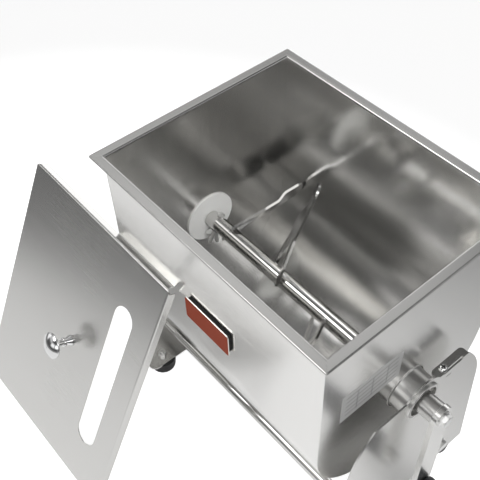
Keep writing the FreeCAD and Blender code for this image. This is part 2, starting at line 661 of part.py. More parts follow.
def cross_hole(x, radius):
    return cross_bar(x, radius + SEAT_CLEARANCE, -TUBE_RADIUS - CUT_PAST, TUBE_RADIUS + CUT_PAST)


def idler_stub():
    stub = rod_x(STUB_RADIUS, -RECESS_FLOOR, -TUBE_END + STUB_INSERT)
    return stub.cut(cross_hole(-CROSS_PIN_X, CROSS_BOLT_RADIUS))


def drive_stub():
    """Solid end of the shaft through the crank-side bearing, tapped for the crank bolt."""
    stub = rod_x(STUB_RADIUS, TUBE_END - STUB_INSERT, ARM_START)
    stub = stub.cut(cross_hole(CROSS_PIN_X, DRIVE_PIN_RADIUS))
    return stub.cut(rod_x(CRANK_BOLT_RADIUS + SEAT_CLEARANCE, ARM_START - CRANK_BOLT_DEPTH - CUT_PAST,
                          ARM_START + CUT_PAST))


def drive_pin():
    return cross_bar(CROSS_PIN_X, DRIVE_PIN_RADIUS, -TUBE_RADIUS, TUBE_RADIUS)


def on_cross_line(shape):
    """Shape drawn along +Z from the shaft axis, laid on the cross bolt's line."""
    placed = shape.copy()
    placed.Placement = FreeCAD.Placement(V(-CROSS_PIN_X, 0, AXIS_HEIGHT),
                                         FreeCAD.Rotation(V(0, 0, 1), cross_direction()))
    return placed


def cross_bolt():
    """Bolt through tube and stub, with its washer under the wing nut."""
    shank = rod_z(CROSS_BOLT_RADIUS, -TUBE_RADIUS, TUBE_RADIUS + CROSS_BOLT_PROUD)
    head = hex_prism(CROSS_HEAD_ACROSS_FLATS, CROSS_HEAD)
    head.rotate(V(0, 0, 0), V(1, 0, 0), 180)
    head.translate(V(0, 0, -TUBE_RADIUS))
    washer = rod_z(CROSS_WASHER_RADIUS, TUBE_RADIUS, TUBE_RADIUS + CROSS_WASHER)
    return on_cross_line(shank.fuse([head, washer]).removeSplitter())


def wing_nut():
    """Wing nut: a tapered hub and two raised wings."""
    start = TUBE_RADIUS + CROSS_WASHER + SEAT_CLEARANCE
    shoulder = start + WING_HUB
    top = shoulder + WING_RISE
    nut = Part.makeCone(WING_HUB_RADIUS, WING_HUB_TOP_RADIUS, WING_HUB, V(0, 0, start))
    root = CROSS_BOLT_RADIUS
    tip = WING_SPAN / 2
    half = WING_THICKNESS / 2
    for side in (-1, 1):
        points = [V(side * root, -half, start + WING_FOOT_RISE),
                  V(side * WING_FOOT, -half, start + WING_FOOT_RISE),
                  V(side * tip, -half, top - WING_TIP),
                  V(side * tip, -half, top - WING_TIP_ROUND),
                  V(side * (tip - 2 * WING_TIP_ROUND), -half, top),
                  V(side * (tip - 5 * WING_TIP_ROUND), -half, top - WING_TIP_ROUND),
                  V(side * root, -half, shoulder)]
        nut = nut.fuse(outline(points).extrude(V(0, WING_THICKNESS, 0)))
    nut = nut.removeSplitter()
    nut = nut.cut(rod_z(CROSS_BOLT_RADIUS + SEAT_CLEARANCE, start - CUT_PAST, top + CUT_PAST))
    nut.rotate(V(0, 0, 0), V(0, 0, 1), WING_TURN)
    return on_cross_line(nut)


def blade_flat(pitch):
    """Forked blade laid flat: X across it, Z out from the shaft axis, its fork as wide as the pitch needs."""
    half = BLADE_WIDTH / 2
    slope = math.radians(pitch)
    gap = TUBE_RADIUS / math.sin(slope) + BLADE_SHEET / 2 / math.tan(slope) + SEAT_CLEARANCE
    leg_out = gap + BLADE_LEG_WIDTH
    corner = BLADE_TIP_ROUND
    high = BLADE_TIP_RADIUS
    edges = []
    for side in (-1, 1):
        neck = V(side * half, 0, BLADE_FORK_APEX)
        points = [V(0, 0, BLADE_FORK_APEX), V(side * gap, 0, BLADE_FORK_SHOULDER),
                  V(side * gap, 0, BLADE_LEG_END), V(side * leg_out, 0, BLADE_LEG_END),
                  V(side * leg_out, 0, BLADE_FORK_SHOULDER), neck, V(side * half, 0, high - corner)]
        edges += [line(points[i], points[i + 1]) for i in range(len(points) - 1)]
        bulge = corner * (1 - math.sqrt(0.5))
        edges.append(arc(points[-1], V(side * (half - bulge), 0, high - bulge),
                         V(side * (half - corner), 0, high)))
    edges.append(line(V(-(half - corner), 0, high), V(half - corner, 0, high)))
    return face_of(edges)


def blade_sheet():
    """Sheet the blade is cut from, upright: flat up to the joggle, then set over along one edge only."""
    edge = BLADE_WIDTH / 2 + CUT_PAST
    wide = BLADE_WIDTH + BLADE_LEG_WIDTH * 2 + TUBE_RADIUS * 2
    low = BLADE_LEG_END - CUT_PAST
    high = BLADE_TIP_RADIUS + CUT_PAST
    pivot = V(edge, 0, BLADE_JOGGLE_MIDDLE)
    crease = V(-edge, 0, BLADE_JOGGLE_START)
    set_over = V(-edge, BLADE_JOGGLE, BLADE_JOGGLE_END)
    root = [V(-wide, 0, low), V(wide, 0, low), V(wide, 0, BLADE_JOGGLE_MIDDLE), pivot, crease,
            V(-wide, 0, BLADE_JOGGLE_START)]
    ramp = [pivot, set_over, crease]
    outer = [pivot, V(edge, 0, high), V(-edge, BLADE_JOGGLE, high), set_over]
    sheets = [outline(points).extrude(V(0, BLADE_SHEET, 0)) for points in (root, ramp, outer)]
    sheet = sheets[0].fuse(sheets[1:])
    sheet.translate(V(0, -BLADE_SHEET / 2, 0))
    return sheet


def blade(station, angle, turn, pitch):
    """Left-hand blade at its place, turned about its own middle line by the turn."""
    reach = BLADE_JOGGLE + BLADE_SHEET
    stock = blade_flat(pitch)
    stock.translate(V(0, -reach, 0))
    stock = stock.extrude(V(0, 2 * reach, 0))
    paddle = stock.common(blade_sheet()).removeSplitter()
    paddle.rotate(V(0, 0, 0), V(0, 0, 1), turn - pitch)
    paddle.rotate(V(0, 0, 0), V(1, 0, 0), angle - 90)
    paddle.translate(V(station, 0, AXIS_HEIGHT))
    return paddle


def crank_boss():
    boss = rod_x(CRANK_BOSS_RADIUS, BOSS_START, ARM_START)
    inner_edge = [e for e in boss.Edges if e.BoundBox.XMax < BOSS_START + EDGE_TOLERANCE]
    boss = boss.makeChamfer(CRANK_BOSS_CHAMFER, inner_edge)
    return boss.cut(rod_x(STUB_RADIUS + SEAT_CLEARANCE, BOSS_START - CUT_PAST, ARM_START + CUT_PAST))


def crank_arm():
    """Flat bar with round ends, hanging straight down from the boss."""
    half = CRANK_ARM_WIDTH / 2
    low = GRIP_HEIGHT
    edges = [
        arc(V(0, -half, AXIS_HEIGHT), V(0, 0, AXIS_HEIGHT + half), V(0, half, AXIS_HEIGHT)),
        line(V(0, half, AXIS_HEIGHT), V(0, half, low)),
        arc(V(0, half, low), V(0, 0, low - half), V(0, -half, low)),
        line(V(0, -half, low), V(0, -half, AXIS_HEIGHT)),
    ]
    arm = face_of(edges)
    arm.translate(V(ARM_START, 0, 0))
    arm = arm.extrude(V(CRANK_ARM_SHEET, 0, 0))
    for radius, height in ((CRANK_BOLT_RADIUS, AXIS_HEIGHT), (GRIP_BOLT_RADIUS, GRIP_HEIGHT)):
        arm = arm.cut(rod_x(radius + SEAT_CLEARANCE, ARM_START - CUT_PAST, ARM_END + CUT_PAST, 0, height))
    return arm


def crank_bolt():
    screw = bolt(CRANK_BOLT_RADIUS, CRANK_BOLT_DEPTH + CRANK_ARM_SHEET, CRANK_BOLT_ACROSS_FLATS,
                 CRANK_BOLT_HEAD, CRANK_WASHER_RADIUS)
    return along_x(screw, ARM_END, 0, AXIS_HEIGHT)


def grip_pocket_floor():
    return GRIP_START + GRIP_LENGTH - GRIP_HEAD - GRIP_HEAD_CLEARANCE - SIDE_CLEARANCE


def grip():
    """Handle turned to a soft barrel, loose on its bolt, with a pocket for the bolt head."""
    middle = GRIP_START + GRIP_LENGTH / 2
    end = GRIP_START + GRIP_LENGTH
    corner = GRIP_ROUND * (1 - math.sqrt(0.5))
    start_edge = V(GRIP_START, 0, GRIP_RADIUS - GRIP_ROUND)
    start_side = V(GRIP_START + GRIP_ROUND, 0, GRIP_RADIUS)
    end_side = V(end - GRIP_ROUND, 0, GRIP_END_RADIUS)
    end_edge = V(end, 0, GRIP_END_RADIUS - GRIP_ROUND)
    bulge = V(middle, 0, (GRIP_RADIUS + GRIP_END_RADIUS) / 2 + GRIP_BULGE)
    edges = [
        line(V(GRIP_START, 0, 0), start_edge),
        arc(start_edge, V(GRIP_START + corner, 0, GRIP_RADIUS - corner), start_side),
        arc(start_side, bulge, end_side),
        arc(end_side, V(end - corner, 0, GRIP_END_RADIUS - corner), end_edge),
        line(end_edge, V(end, 0, 0)),
        line(V(end, 0, 0), V(GRIP_START, 0, 0)),
    ]
    handle = turned(edges, V(1, 0, 0))
    handle.translate(V(0, 0, GRIP_HEIGHT))
    pocket = rod_x(GRIP_HEAD_RADIUS + GRIP_HEAD_CLEARANCE, grip_pocket_floor(), end + CUT_PAST, 0,
                   GRIP_HEIGHT)
    bore = rod_x(GRIP_BOLT_RADIUS + RUNNING_CLEARANCE, GRIP_START - CUT_PAST, end + CUT_PAST, 0, GRIP_HEIGHT)
    return handle.cut([pocket, bore])


def grip_bolt():
    """Shoulder bolt through the handle into the arm, with its nut behind the arm."""
    head_start = grip_pocket_floor() + SIDE_CLEARANCE
    shank = rod_x(GRIP_BOLT_RADIUS, ARM_START - GRIP_NUT, head_start, 0, GRIP_HEIGHT)
    head = rod_x(GRIP_HEAD_RADIUS, head_start, head_start + GRIP_HEAD, 0, GRIP_HEIGHT)
    nut = along_x(hex_prism(GRIP_NUT_ACROSS_FLATS, GRIP_NUT), ARM_START, 0, GRIP_HEIGHT, -1)
    return shank.fuse([head, nut]).removeSplitter()


def on_lid(shape):
    """Shape drawn on the flat lid (X across, Y up the slope, Z out of its face), stood in its place."""
    placed = shape.copy()
    placed.rotate(V(0, 0, 0), V(1, 0, 0), LID_LEAN)
    middle = LID_RIGHT_EDGE - LID_WIDTH / 2
    placed.translate(V(middle, LID_FOOT_Y, LID_FOOT_RISE))
    return placed


def rounded_pan(half_width, low, high, depth, bend):
    """Solid block from Z = -depth up to Z = 0 with its top edges rounded."""
    pan = block(-half_width, half_width, low, high, -depth, 0)
    return pan.makeFillet(bend, [e for e in pan.Edges if e.BoundBox.ZMin > -EDGE_TOLERANCE])


def lid_corner(x_side, y_edge, inward):
    """Cutters of one lid corner: the opening between two skirts, and the rounding of the corner."""
    half = LID_WIDTH / 2
    past_x = x_side * (half + CUT_PAST)
    past_y = y_edge - inward * CUT_PAST
    x0, x1 = sorted((past_x, x_side * (half - LID_NOTCH)))
    y0, y1 = sorted((past_y, y_edge + inward * LID_NOTCH))
    notch = block(x0, x1, y0, y1, -LID_DEPTH - CUT_PAST, -LID_NOTCH_DROP)
    centre_x = x_side * (half - LID_CORNER)
    centre_y = y_edge + inward * LID_CORNER
    x0, x1 = sorted((past_x, centre_x))
    y0, y1 = sorted((past_y, centre_y))
    square = block(x0, x1, y0, y1, -LID_DEPTH - CUT_PAST, CUT_PAST)
    return notch, square.cut(rod_z(LID_CORNER, -LID_DEPTH - 2 * CUT_PAST, 2 * CUT_PAST, centre_x, centre_y))


def lid_slot():
    """Cutter of the pouring slot, round at both ends."""
    radius = LID_SLOT_WIDTH / 2
    straight = LID_SLOT_LENGTH / 2 - radius
    middle = LID_LENGTH / 2
    low = -LID_SHEET - CUT_PAST
    slot = block(LID_SLOT_OFFSET - radius, LID_SLOT_OFFSET + radius, middle - straight, middle + straight,
                 low, CUT_PAST)
    for end in (-1, 1):
        slot = slot.fuse(rod_z(radius, low, CUT_PAST, LID_SLOT_OFFSET, middle + end * straight))
    return slot


def lid_panel():
    """Shallow tray: flat face, four folded skirts with open corners, and the long pouring slot."""
    half = LID_WIDTH / 2
    panel = rounded_pan(half, 0, LID_LENGTH, LID_DEPTH, LID_BEND)
    hollow = rounded_pan(half - LID_SHEET, LID_SHEET, LID_LENGTH - LID_SHEET, LID_DEPTH,
                         LID_BEND - LID_SHEET)
    hollow.translate(V(0, 0, -LID_SHEET))
    panel = panel.cut(hollow)
    for x_side in (-1, 1):
        for y_edge, inward in ((0, 1), (LID_LENGTH, -1)):
            panel = panel.cut(lid_corner(x_side, y_edge, inward))
    screw_hole = rod_z(KNOB_SCREW_RADIUS + SEAT_CLEARANCE, -LID_SHEET - CUT_PAST, CUT_PAST, KNOB_OFFSET,
                       LID_LENGTH / 2)
    return on_lid(panel.cut([lid_slot(), screw_hole]).removeSplitter())


def lid_knob():
    """Turned knob: small base, neck with a bead, and a wide head with a domed top."""
    head_edge = KNOB_HEIGHT - KNOB_CROWN
    under = head_edge - KNOB_EDGE
    crown_radius = KNOB_RADIUS - KNOB_EDGE / 2
    dome_radius = (crown_radius ** 2 + KNOB_CROWN ** 2) / (2 * KNOB_CROWN)
    half_crown = crown_radius / 2
    crown_middle = KNOB_HEIGHT - dome_radius + math.sqrt(dome_radius ** 2 - half_crown ** 2)
    diagonal = KNOB_COVE_RADIUS * math.sqrt(0.5)
    cove = V(KNOB_NECK_RADIUS + KNOB_COVE_RADIUS, 0, under - KNOB_COVE_RADIUS)
    bead_low = V(KNOB_NECK_RADIUS, 0, KNOB_BEAD_HEIGHT - KNOB_BEAD_RADIUS)
    bead_high = V(KNOB_NECK_RADIUS, 0, KNOB_BEAD_HEIGHT + KNOB_BEAD_RADIUS)
    edges = [
        line(V(0, 0, 0), V(KNOB_BASE_RADIUS, 0, 0)),
        line(V(KNOB_BASE_RADIUS, 0, 0), V(KNOB_BASE_RADIUS, 0, KNOB_BASE)),
        line(V(KNOB_BASE_RADIUS, 0, KNOB_BASE), bead_low),
        arc(bead_low, V(KNOB_NECK_RADIUS + KNOB_BEAD_RADIUS, 0, KNOB_BEAD_HEIGHT), bead_high),
        line(bead_high, V(KNOB_NECK_RADIUS, 0, cove.z)),
        arc(V(KNOB_NECK_RADIUS, 0, cove.z), V(cove.x - diagonal, 0, cove.z + diagonal), V(cove.x, 0, under)),
        line(V(cove.x, 0, under), V(crown_radius, 0, under)),
        arc(V(crown_radius, 0, under), V(KNOB_RADIUS, 0, under + KNOB_EDGE / 2),
            V(crown_radius, 0, head_edge)),
        arc(V(crown_radius, 0, head_edge), V(half_crown, 0, crown_middle), V(0, 0, KNOB_HEIGHT)),
        line(V(0, 0, KNOB_HEIGHT), V(0, 0, 0)),
    ]
    knob = turned(edges, V(0, 0, 1))
    knob = knob.cut(rod_z(KNOB_SCREW_RADIUS + SEAT_CLEARANCE, -CUT_PAST, KNOB_SCREW_DEPTH + CUT_PAST))
    knob.translate(V(KNOB_OFFSET, LID_LENGTH / 2, 0))
    return on_lid(knob)


def knob_screw():
    head = pan_head(KNOB_SCREW_HEAD_RADIUS, KNOB_SCREW_HEAD)
    head.rotate(V(0, 0, 0), V(1, 0, 0), 180)
    head.translate(V(0, 0, -LID_SHEET))
    screw = head.fuse(rod_z(KNOB_SCREW_RADIUS, -LID_SHEET, KNOB_SCREW_DEPTH))
    screw.translate(V(KNOB_OFFSET, LID_LENGTH / 2, 0))
    return on_lid(screw)


def name_plate():
    """Plate with rounded corners, on a thinner layer of foam tape."""
    half = NAME_PLATE_LENGTH / 2
    middle = RIM_HEIGHT - NAME_PLATE_DROP
    front = -WALL_FACE - TAPE - NAME_PLATE_SHEET
    plate = block(-half, half, front, front + NAME_PLATE_SHEET,
                  middle - NAME_PLATE_HEIGHT / 2, middle + NAME_PLATE_HEIGHT / 2)
    corners = [e for e in plate.Edges if e.BoundBox.YLength > NAME_PLATE_SHEET / 2]
    return plate.makeFillet(NAME_PLATE_CORNER, corners)


def plate_tape():
    half = NAME_PLATE_LENGTH / 2 - TAPE_INSET
    half_height = NAME_PLATE_HEIGHT / 2 - TAPE_INSET
    middle = RIM_HEIGHT - NAME_PLATE_DROP
    return block(-half, half, -WALL_FACE - TAPE, -WALL_FACE, middle - half_height, middle + half_height)


def rating_label():
    middle = RIM_HEIGHT - LABEL_DROP
    return block(END_FACE, END_FACE + LABEL_SHEET, LABEL_OFFSET - LABEL_LENGTH / 2,
                 LABEL_OFFSET + LABEL_LENGTH / 2, middle - LABEL_HEIGHT / 2, middle + LABEL_HEIGHT / 2)


def save(name, shape):
    shape = shape.copy()
    shape.translate(ORIGIN_SHIFT)
    shape.exportStep("parts/" + name + ".step")


os.makedirs("parts", exist_ok=True)

save("tank_trough", tank_trough())
for name, turn in (("rim_front", 0), ("rim_right", 90), ("rim_rear", 180), ("rim_left", 270)):
    save(name, rim(turn))
for name, side in (("left", -1), ("right", 1)):
    save("end_plate_" + name, end_plate(side))
    save("hub_" + name, hub(side))
    save("bearing_" + name, bearing(side))
    save("stand_plate_" + name, stand_plate(side))
    save("tab_screw_" + name, tab_screw(side))
for name, side in (("front", -1), ("rear", 1)):
    save("tie_rod_" + name, tie_rod(side))
save("rod_bolts", rod_bolts())
for name, (x_side, y_side) in foot_places().items():
    save("foot_" + name, foot(x_side, y_side))
save("foot_studs", foot_studs())
save("plunger_keeper", plunger_keeper())
save("plunger_sleeve", plunger_sleeve())
save("plunger_pin", plunger_pin())
save("plunger_knob", plunger_knob())
save("shaft_tube", shaft_tube())
save("idler_stub", idler_stub())
save("drive_stub", drive_stub())
save("drive_pin", drive_pin())
save("cross_bolt", cross_bolt())
save("wing_nut", wing_nut())
save("blade_far_left", blade(-BLADE_END_X, BLADE_LEFT_END_ANGLE, 180, BLADE_END_PITCH))
save("blade_mid_left", blade(-BLADE_MIDDLE_X, BLADE_LEFT_MIDDLE_ANGLE, 0, BLADE_MIDDLE_PITCH))
save("blade_mid_right", mirrored_x(blade(-BLADE_MIDDLE_X, BLADE_RIGHT_MIDDLE_ANGLE, 0, BLADE_MIDDLE_PITCH)))
save("blade_far_right", mirrored_x(blade(-BLADE_END_X, BLADE_RIGHT_END_ANGLE, 180, BLADE_END_PITCH)))
save("crank_boss", crank_boss())
save("crank_arm", crank_arm())
save("crank_bolt", crank_bolt())
save("grip", grip())
save("grip_bolt", grip_bolt())
save("lid_panel", lid_panel())
save("lid_knob", lid_knob())
save("knob_screw", knob_screw())
save("name_plate", name_plate())
save("plate_tape", plate_tape())
save("rating_label", rating_label())
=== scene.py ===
# %% [markdown]
# A hand-cranked meat mixer in brushed stainless steel
#
# The machine is a U-shaped steel tank that hangs between two folded stand plates, with a paddle shaft
# through its ends and a loose lid leaned on its front wall. The construction is already there as a
# fixed frame of parts. What is left for Blender is the finish: the grain of the sheet, the polish of the
# turned pieces, the soft marks of handling, the thin welds and the ruled label, and the light of a studio.

# %% Load the frame
import math

import bmesh
import bpy
from mathutils import Matrix, Vector


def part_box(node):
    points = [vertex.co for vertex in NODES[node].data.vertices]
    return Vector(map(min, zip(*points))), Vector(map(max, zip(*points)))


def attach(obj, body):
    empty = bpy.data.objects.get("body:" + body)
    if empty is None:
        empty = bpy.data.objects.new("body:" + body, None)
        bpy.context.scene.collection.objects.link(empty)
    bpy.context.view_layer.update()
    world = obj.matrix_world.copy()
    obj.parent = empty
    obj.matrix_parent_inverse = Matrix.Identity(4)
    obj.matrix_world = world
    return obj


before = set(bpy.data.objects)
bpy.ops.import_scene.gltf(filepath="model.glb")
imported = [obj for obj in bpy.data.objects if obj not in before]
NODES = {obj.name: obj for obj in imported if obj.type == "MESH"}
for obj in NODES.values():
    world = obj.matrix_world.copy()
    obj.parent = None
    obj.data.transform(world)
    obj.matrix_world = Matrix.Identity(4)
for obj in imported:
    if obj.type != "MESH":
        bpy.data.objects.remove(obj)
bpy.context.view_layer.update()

# %% [markdown]
# The camera
#
# The photograph looks down into the tank from the front right. A camera could be aimed with a Track To
# constraint, but a constraint leaves the roll to chance. Here the three axes of the camera are written as
# a matrix, because they were worked out from the straight edges of the tank and all three matter.

# %% Camera
CAMERA_PLACE = Vector((0.40563, -0.32611, 0.96534))
CAMERA_RIGHT = Vector((0.6469, 0.7622, -0.0249))
CAMERA_UP = Vector((-0.5598, 0.4969, 0.6632))
LENS = 60.4


def add_camera():
    right = CAMERA_RIGHT.normalized()
    back = right.cross(CAMERA_UP).normalized()
    up = back.cross(right)
    data = bpy.data.cameras.new("camera")
    data.lens = LENS
    data.sensor_width = 36.0
    data.clip_start = 0.01
    camera = bpy.data.objects.new("camera", data)
    camera.matrix_world = Matrix.Translation(CAMERA_PLACE) @ Matrix((right, up, back)).transposed().to_4x4()
    bpy.context.collection.objects.link(camera)
    bpy.context.scene.camera = camera
    return camera


camera = add_camera()
print("camera at", tuple(camera.location), "lens", camera.data.lens)

# %% [markdown]
# Node helpers
#
# A material is a small graph. Writing every link by hand hides the idea, so three short helpers do the
# plumbing: one adds a node and sets its inputs, one joins two sockets, and one builds a reusable group.


# %% Node helpers
def add_node(tree, kind, inputs=None, **settings):
    node = tree.nodes.new(kind)
    for name, value in settings.items():
        setattr(node, name, value)
    for name, value in (inputs or {}).items():
        socket = node.inputs[name]
        if isinstance(value, bpy.types.NodeSocket):
            tree.links.new(value, socket)
        else:
            socket.default_value = value
    return node


def math_node(tree, operation, a, b=0.5):
    return add_node(tree, "ShaderNodeMath", {0: a, 1: b}, operation=operation).outputs[0]


def remap(tree, value, low, high, to_low=0.0, to_high=1.0):
    node = add_node(tree, "ShaderNodeMapRange", {"Value": value, "From Min": low, "From Max": high,
                                                 "To Min": to_low, "To Max": to_high})
    node.clamp = True
    return node.outputs["Result"]


def new_group(name, inputs, outputs):
    """Empty shader node group with its sockets. Returns the tree, its inlet and its outlet."""
    group = bpy.data.node_groups.new(name, "ShaderNodeTree")
    for socket_name, kind, value in inputs:
        socket = group.interface.new_socket(socket_name, in_out="INPUT", socket_type=kind)
        if value is not None:
            socket.default_value = value
    for socket_name, kind in outputs:
        group.interface.new_socket(socket_name, in_out="OUTPUT", socket_type=kind)
    inlet = group.nodes.new("NodeGroupInput")
    outlet = group.nodes.new("NodeGroupOutput")
    return group, inlet.outputs, outlet.inputs


def use_group(tree, group, inputs):
    node = tree.nodes.new("ShaderNodeGroup")
    node.node_tree = group
    for name, value in inputs.items():
        if isinstance(value, bpy.types.NodeSocket):
            tree.links.new(value, node.inputs[name])
        else:
            node.inputs[name].default_value = value
    return node.outputs


FLOAT = "NodeSocketFloat"
VECTOR = "NodeSocketVector"
WHITE = (1.0, 1.0, 1.0, 1.0)

# %% [markdown]
# Brushed grain
#
# Sheet steel is brushed by a belt, which leaves fine parallel scratches of uneven length. A stretched
# noise does this: the point is divided by a long length along the grain and a very short one across it.
# Two sizes are mixed, so that the grain has both hairlines and wider, fainter bands.


# %% Brushed grain group
def make_grain():
    tree, inlet, outlet = new_group(
        "brushed grain",
        [("Point", VECTOR, None), ("Density", VECTOR, (4.0, 900.0, 900.0)), ("Band share", FLOAT, 0.35)],
        [("Hairline", FLOAT)])
    stretched = add_node(tree, "ShaderNodeVectorMath", {0: inlet["Point"], 1: inlet["Density"]},
                         operation="MULTIPLY").outputs[0]
    hair = add_node(tree, "ShaderNodeTexNoise", {"Vector": stretched, "Scale": 1.0, "Detail": 3.0,
                                                 "Roughness": 0.6}).outputs["Fac"]
    wide = add_node(tree, "ShaderNodeVectorMath", {0: stretched, 1: (0.5, 0.06, 0.06)},
                    operation="MULTIPLY").outputs[0]
    band = add_node(tree, "ShaderNodeTexNoise", {"Vector": wide, "Scale": 1.0, "Detail": 2.0}).outputs["Fac"]
    hairline = remap(tree, hair, 0.3, 0.7)
    soft_band = remap(tree, band, 0.3, 0.7)
    mixed = add_node(tree, "ShaderNodeMix", {0: inlet["Band share"], 2: hairline, 3: soft_band},
                     data_type="FLOAT").outputs[0]
    tree.links.new(mixed, outlet["Hairline"])
    return tree


GRAIN = make_grain()

# %% [markdown]
# Handling marks
#
# Even a new machine has been held. Grease from hands and a wiping cloth leave broad, faint clouds where
# the steel is a little duller. They are a slow noise, cut off below a level so that much of the surface
# stays clean, with a wide ramp above it so that no cloud has an edge.


# %% Handling marks group
MARK_RAMP = 0.4


def make_marks():
    tree, inlet, outlet = new_group(
        "handling marks", [("Point", VECTOR, None), ("Scale", FLOAT, 9.0), ("Cleanness", FLOAT, 0.5)],
        [("Mark", FLOAT)])
    cloud = add_node(tree, "ShaderNodeTexNoise", {"Vector": inlet["Point"], "Scale": inlet["Scale"],
                                                  "Detail": 2.0, "Distortion": 0.3}).outputs["Fac"]
    edge = math_node(tree, "ADD", inlet["Cleanness"], MARK_RAMP)
    tree.links.new(remap(tree, cloud, inlet["Cleanness"], edge), outlet["Mark"])
    return tree


MARKS = make_marks()

# %% [markdown]
# Softened edges
#
# No sheet is cut perfectly sharp: a tiny rounding catches the light along every edge. The Bevel node
# rounds the shading normal by a real radius, and where it differs from the true normal there is an edge,
# which gives a mask for a lighter colour: rubbed metal and a painted highlight.


# %% Softened edge group
EDGE_NONE = 0.99         # agreement of rounded and true normal where the edge mask starts, and where it is full
EDGE_FULL = 0.8


def make_edges():
    tree, inlet, outlet = new_group("softened edges", [("Radius", FLOAT, 0.0004)],
                                    [("Normal", VECTOR), ("Edge", FLOAT)])
    bevel = add_node(tree, "ShaderNodeBevel", {"Radius": inlet["Radius"]}, samples=4).outputs[0]
    true = add_node(tree, "ShaderNodeNewGeometry").outputs["Normal"]
    same = add_node(tree, "ShaderNodeVectorMath", {0: bevel, 1: true},
                    operation="DOT_PRODUCT").outputs["Value"]
    tree.links.new(bevel, outlet["Normal"])
    tree.links.new(remap(tree, same, EDGE_NONE, EDGE_FULL), outlet["Edge"])
    return tree


EDGES = make_edges()

# %% [markdown]
# Stainless steel
#
# Every sheet is the same metal with another grain direction and polish, so one function makes them all.
# The trough, ends and paddles get a lighter copy of its colour, which is painted light for the inside of the
# tank.
# The Principled shader is fully metallic, its colour is the warm grey of stainless steel, and the
# roughness follows the grain. The bump is less than a micron, which is what stretches the highlights
# across the grain.

# %% Steel material
STEEL = (0.68, 0.675, 0.66, 1.0)
# A lighter copy of the same steel colour: painted light that brightens the inside of the tank.
PAINTED_LIGHT_STEEL = (0.81, 0.805, 0.79, 1.0)
FASTENER_COLOR = (0.86, 0.86, 0.85, 1.0)
EDGE_WEAR_AND_HIGHLIGHT = 1.25          # how much lighter an edge is: rubbed metal and a painted highlight
ALONG_X = (14.0, 2600.0, 2600.0)
ALONG_Y = (2600.0, 14.0, 2600.0)
ALONG_Z = (2600.0, 2600.0, 14.0)
AROUND_X = (2600.0, 16.0, 16.0)


def principled(name, color, **constants):
    """New material with a Principled BSDF. Returns the material, its tree and the shader."""
    material = bpy.data.materials.new(name)
    material.use_nodes = True
    material.diffuse_color = color
    tree = material.node_tree
    shader = tree.nodes["Principled BSDF"]
    shader.inputs["Base Color"].default_value = color
    for socket, value in constants.items():
        shader.inputs[socket.replace("_", " ")].default_value = value
    return material, tree, shader


def shade(tree, amount, dark, light):
    """Colour between dark and light, by an amount from 0 to 1."""
    return add_node(tree, "ShaderNodeMix", {0: amount, 6: dark, 7: light}, data_type="RGBA").outputs[2]


def scaled(color, factor):
    return tuple(min(1.0, channel * factor) for channel in color[:3]) + (1.0,)


def steel(name, density, roughness, spread=0.02, color=STEEL, contrast=0.03, bump=0.0000006,
          edge_radius=0.0003, marks=0.04):
    """Brushed or turned steel. The density of the grain along each axis gives its direction."""
    material, tree, shader = principled(name, color, Metallic=1.0)
    point = add_node(tree, "ShaderNodeTexCoord").outputs["Object"]
    grain = use_group(tree, GRAIN, {"Point": point, "Density": density})
    mark = use_group(tree, MARKS, {"Point": point})["Mark"]
    edge = use_group(tree, EDGES, {"Radius": edge_radius})
    grained = shade(tree, grain["Hairline"], scaled(color, 1 - contrast), scaled(color, 1 + contrast))
    # the edge mask lightens the colour: rubbed metal and a painted highlight along every edge
    tree.links.new(shade(tree, edge["Edge"], grained, scaled(color, EDGE_WEAR_AND_HIGHLIGHT)), shader.inputs["Base Color"])
    rough = remap(tree, grain["Hairline"], 0.0, 1.0, roughness - spread, roughness + spread)
    dulled = math_node(tree, "ADD", rough, math_node(tree, "MULTIPLY", mark, marks))
    tree.links.new(dulled, shader.inputs["Roughness"])
    height = add_node(tree, "ShaderNodeBump", {"Height": grain["Hairline"], "Normal": edge["Normal"],
                                               "Distance": bump, "Strength": 1.0})
    tree.links.new(height.outputs[0], shader.inputs["Normal"])
    return material


# %% [markdown]
# Sheet finishes
#
# The trough is one sheet bent into a U, so its grain runs round the bend. The ends are cut from the same
# stock with the grain upright. The rim strips are polished along their length, and the lid has the
# plainest grain of all, straight across it.

# %% Sheet finishes
# The trough, the ends and the paddles use the lighter copy of the steel colour, painted light for the inside of
# the tank.
TROUGH_STEEL = steel("trough steel", AROUND_X, 0.16, color=PAINTED_LIGHT_STEEL)
END_STEEL = steel("end plate steel", ALONG_Z, 0.23, color=PAINTED_LIGHT_STEEL)
LONG_RIM_STEEL = steel("long rim steel", ALONG_X, 0.24)
SHORT_RIM_STEEL = steel("short rim steel", ALONG_Y, 0.24)
LID_STEEL = steel("lid steel", ALONG_X, 0.25)
STAND_STEEL = steel("stand steel", ALONG_Y, 0.24)
BAR_STEEL = steel("bright bar steel", ALONG_X, 0.14, contrast=0.02)
HUB_STEEL = steel("turned hub steel", (3000.0, 4.0, 4.0), 0.3, contrast=0.03)
PADDLE_STEEL = steel("paddle steel", (500.0, 500.0, 500.0), 0.24, color=PAINTED_LIGHT_STEEL, contrast=0.02)
FASTENER_STEEL = steel("fastener steel", (300.0, 300.0, 300.0), 0.32, color=FASTENER_COLOR, contrast=0.02)
CHROME = steel("polished knob", (60.0, 60.0, 60.0), 0.04, spread=0.01, color=(0.78, 0.78, 0.78, 1.0),
               contrast=0.01, bump=0.0, edge_radius=0.0002, marks=0.02)

# %% [markdown]
# Plastics and rubber
#
# Nylon, rubber and moulded handles are not metals: most of their light comes from inside the material.
# Each has a fine moulded texture and a little variation in its gloss.


